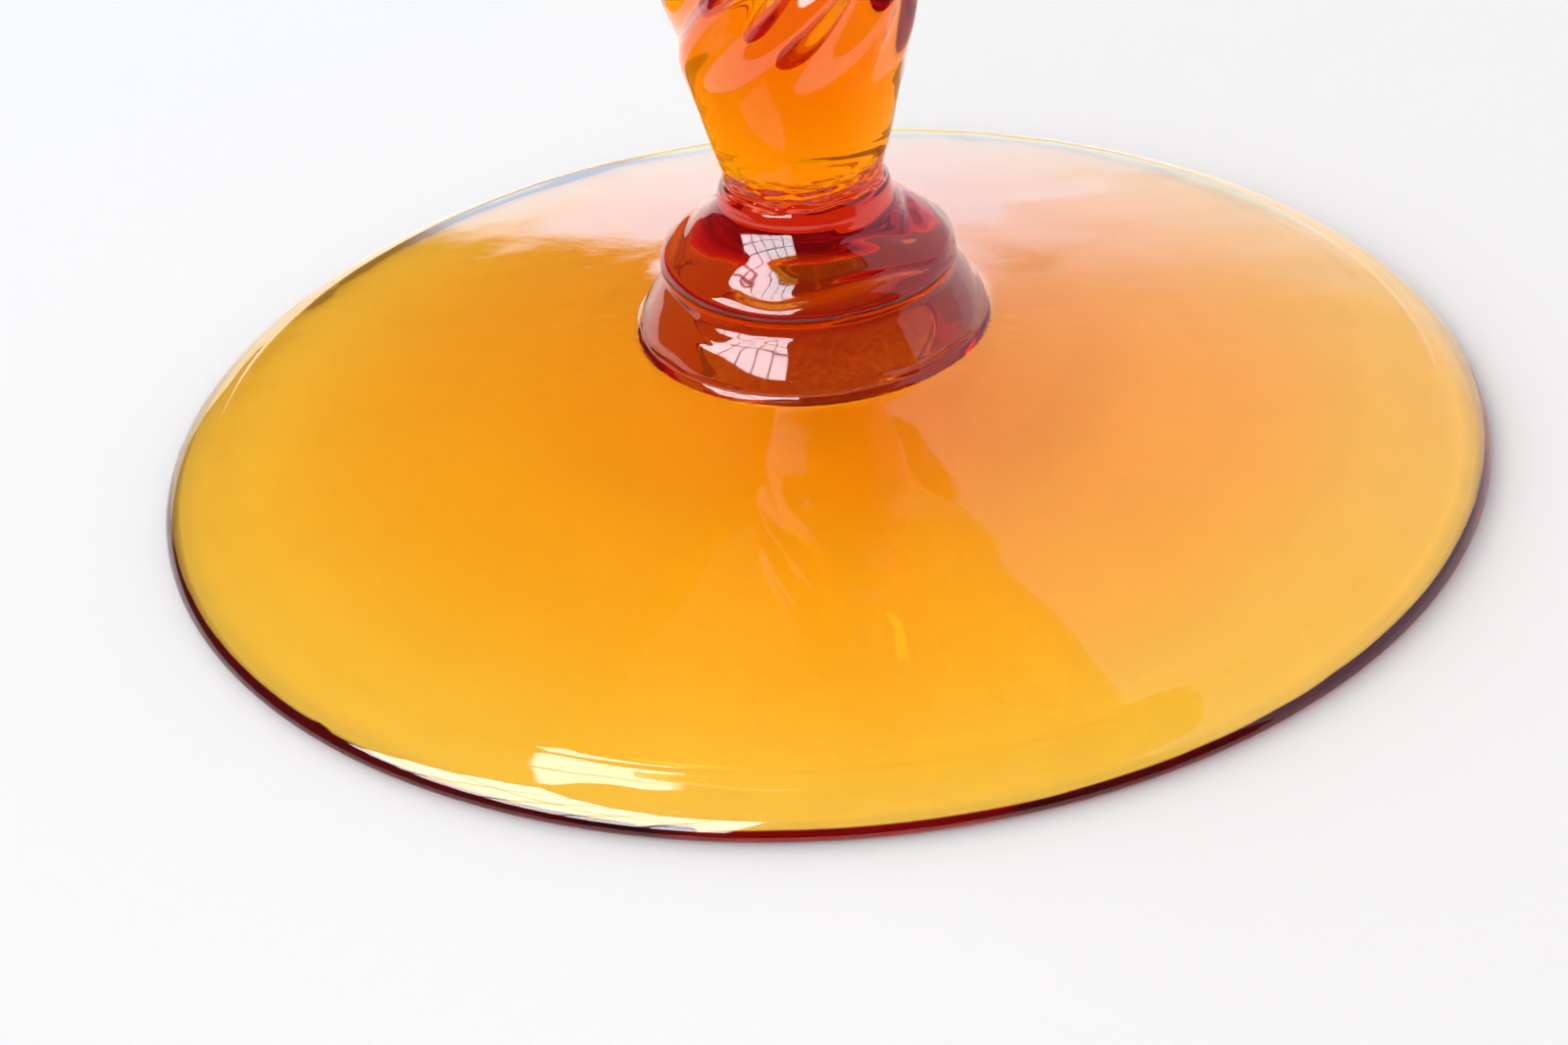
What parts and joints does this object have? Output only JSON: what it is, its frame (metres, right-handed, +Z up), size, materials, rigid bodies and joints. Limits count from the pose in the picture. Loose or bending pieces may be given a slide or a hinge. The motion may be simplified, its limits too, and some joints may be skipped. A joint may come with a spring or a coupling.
{
  "type": "covered footed glass vessel",
  "caption": "Covered amber glass vessel: wide conical foot, stepped collars, ribbed twisted stem, round bowl and a lift-off domed lid with a twisted finial.",
  "frame": {"origin": "centre of the ring that the foot stands on", "axes": "+Z up along the stem; the ribs of the stem wind round it right-handed"},
  "size_m": [0.1445, 0.1446, 0.2749],
  "materials": {
    "amber_glass": "fire-polished clear amber glass",
    "deep_amber_glass": "thick amber glass with faint tool marks"
  },
  "bodies": {
    "vessel": {"foot": "amber_glass", "lower_collar": "deep_amber_glass", "upper_collar": "deep_amber_glass", "stem": "amber_glass", "stem_top_collar": "deep_amber_glass", "bowl_wafer": "deep_amber_glass", "bowl": "amber_glass"},
    "cover": {"lid": "amber_glass", "lid_wafer": "deep_amber_glass", "finial": "amber_glass"}
  },
  "joints": [
    {"name": "lid_lift", "type": "slide", "parent": "vessel", "child": "cover", "axis": [0, 0, 1], "range_m": [0, 0.12]}
  ]
}
